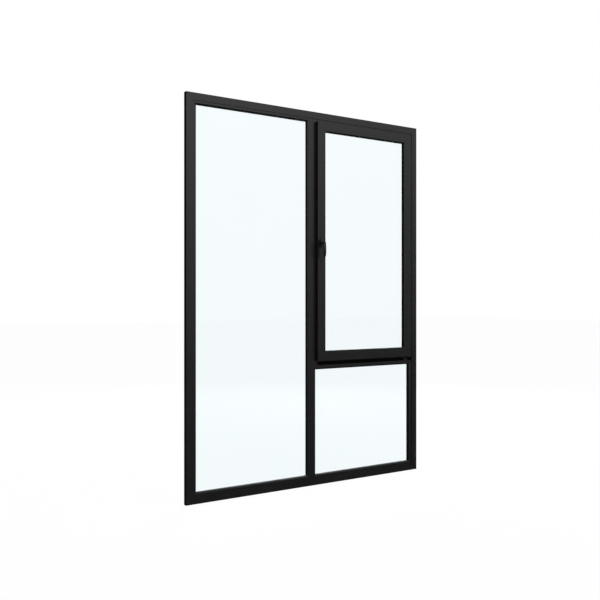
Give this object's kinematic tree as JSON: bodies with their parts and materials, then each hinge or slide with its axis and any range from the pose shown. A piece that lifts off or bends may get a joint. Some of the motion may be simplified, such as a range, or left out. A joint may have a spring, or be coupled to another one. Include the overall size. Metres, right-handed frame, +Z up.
{
  "type": "window unit with opening sash",
  "caption": "Dark aluminium window: tall fixed light, low fixed light and an inward-opening side-hung sash with a lever handle, rack drive, rods, cams, keeps and hinges.",
  "frame": {"origin": "centre of the sill's bottom face, midway through the depth of the room-side flange", "axes": "+X to the right seen from the room, +Y from the room to the outside, +Z up"},
  "size_m": [1.48, 0.0985, 2],
  "materials": {
    "frame_coat": "satin black powder coat",
    "sash_coat": "satin black powder coat",
    "bead_coat": "satin black powder coat",
    "glass": "clear float glass",
    "gasket": "matte black EPDM",
    "spacer": "dark anodised",
    "cleat": "mill finish",
    "setting_block": "moulded",
    "hardware_steel": "zinc plated",
    "handle_coat": "satin black coat",
    "base_plate": "moulded",
    "hinge_coat": "satin black coat",
    "drain_plastic": "moulded"
  },
  "bodies": {
    "frame": {"adaptor_gasket": "gasket", "adaptor_head": "frame_coat", "adaptor_jamb_left": "frame_coat", "adaptor_jamb_right": "frame_coat", "adaptor_sill": "frame_coat", "bar_joint_blocks": "cleat", "fixed_gaskets": "gasket", "fixed_setting_blocks": "setting_block", "fixed_spacer": "spacer", "frame_corner_cleats": "cleat", "frame_head": "frame_coat", "frame_jamb_left": "frame_coat", "frame_jamb_right": "frame_coat", "frame_sill": "frame_coat", "hinge_frame_leaves": "hinge_coat", "hinge_pins": "hardware_steel", "keep_and_hinge_screws": "hardware_steel", "left_bead_bottom": "bead_coat", "left_bead_left": "bead_coat", "left_bead_right": "bead_coat", "left_bead_top": "bead_coat", "left_pane_outside": "glass", "left_pane_room": "glass", "lock_keeps": "hardware_steel", "lower_bead_bottom": "bead_coat", "lower_bead_left": "bead_coat", "lower_bead_right": "bead_coat", "lower_bead_top": "bead_coat", "lower_pane_outside": "glass", "lower_pane_room": "glass", "mullion": "frame_coat", "stop_seal": "gasket", "transom": "frame_coat", "weep_covers": "drain_plastic"},
    "sash": {"handle_base_cover": "handle_coat", "handle_base_plate": "base_plate", "handle_screws": "hardware_steel", "hinge_sash_leaves": "hinge_coat", "hinge_sash_screws": "hardware_steel", "sash_bead_bottom": "bead_coat", "sash_bead_left": "bead_coat", "sash_bead_right": "bead_coat", "sash_bead_top": "bead_coat", "sash_bottom_rail": "sash_coat", "sash_corner_cleats": "cleat", "sash_gaskets": "gasket", "sash_hinge_stile": "sash_coat", "sash_lock_stile": "sash_coat", "sash_overlap_seal": "gasket", "sash_pane_outside": "glass", "sash_pane_room": "glass", "sash_setting_blocks": "setting_block", "sash_spacer": "spacer", "sash_top_rail": "sash_coat"},
    "handle": {"handle_lever": "handle_coat", "handle_spindle": "hardware_steel"},
    "drive": {"drive_fork": "hardware_steel", "lower_drive_rod": "hardware_steel", "upper_drive_rod": "hardware_steel", "locking_cams": "hardware_steel"}
  },
  "joints": [
    {"name": "sash_swing", "type": "hinge", "parent": "frame", "child": "sash", "pos_m": [0.692, -0.016, 1.3], "axis": [0, 0, 1], "range_deg": [0, 90]},
    {"name": "lever_turn", "type": "hinge", "parent": "sash", "child": "handle", "pos_m": [0.0453, -0.045, 1.298], "axis": [0, -1, 0], "range_deg": [0, 90]},
    {"name": "rod_slide", "type": "slide", "parent": "sash", "child": "drive", "axis": [0, 0, 1], "range_m": [0, 0.01005]}
  ],
  "couplings": [
    {"joint": "lever_turn", "follows": "rod_slide", "rad_per_m": 156.25}
  ]
}
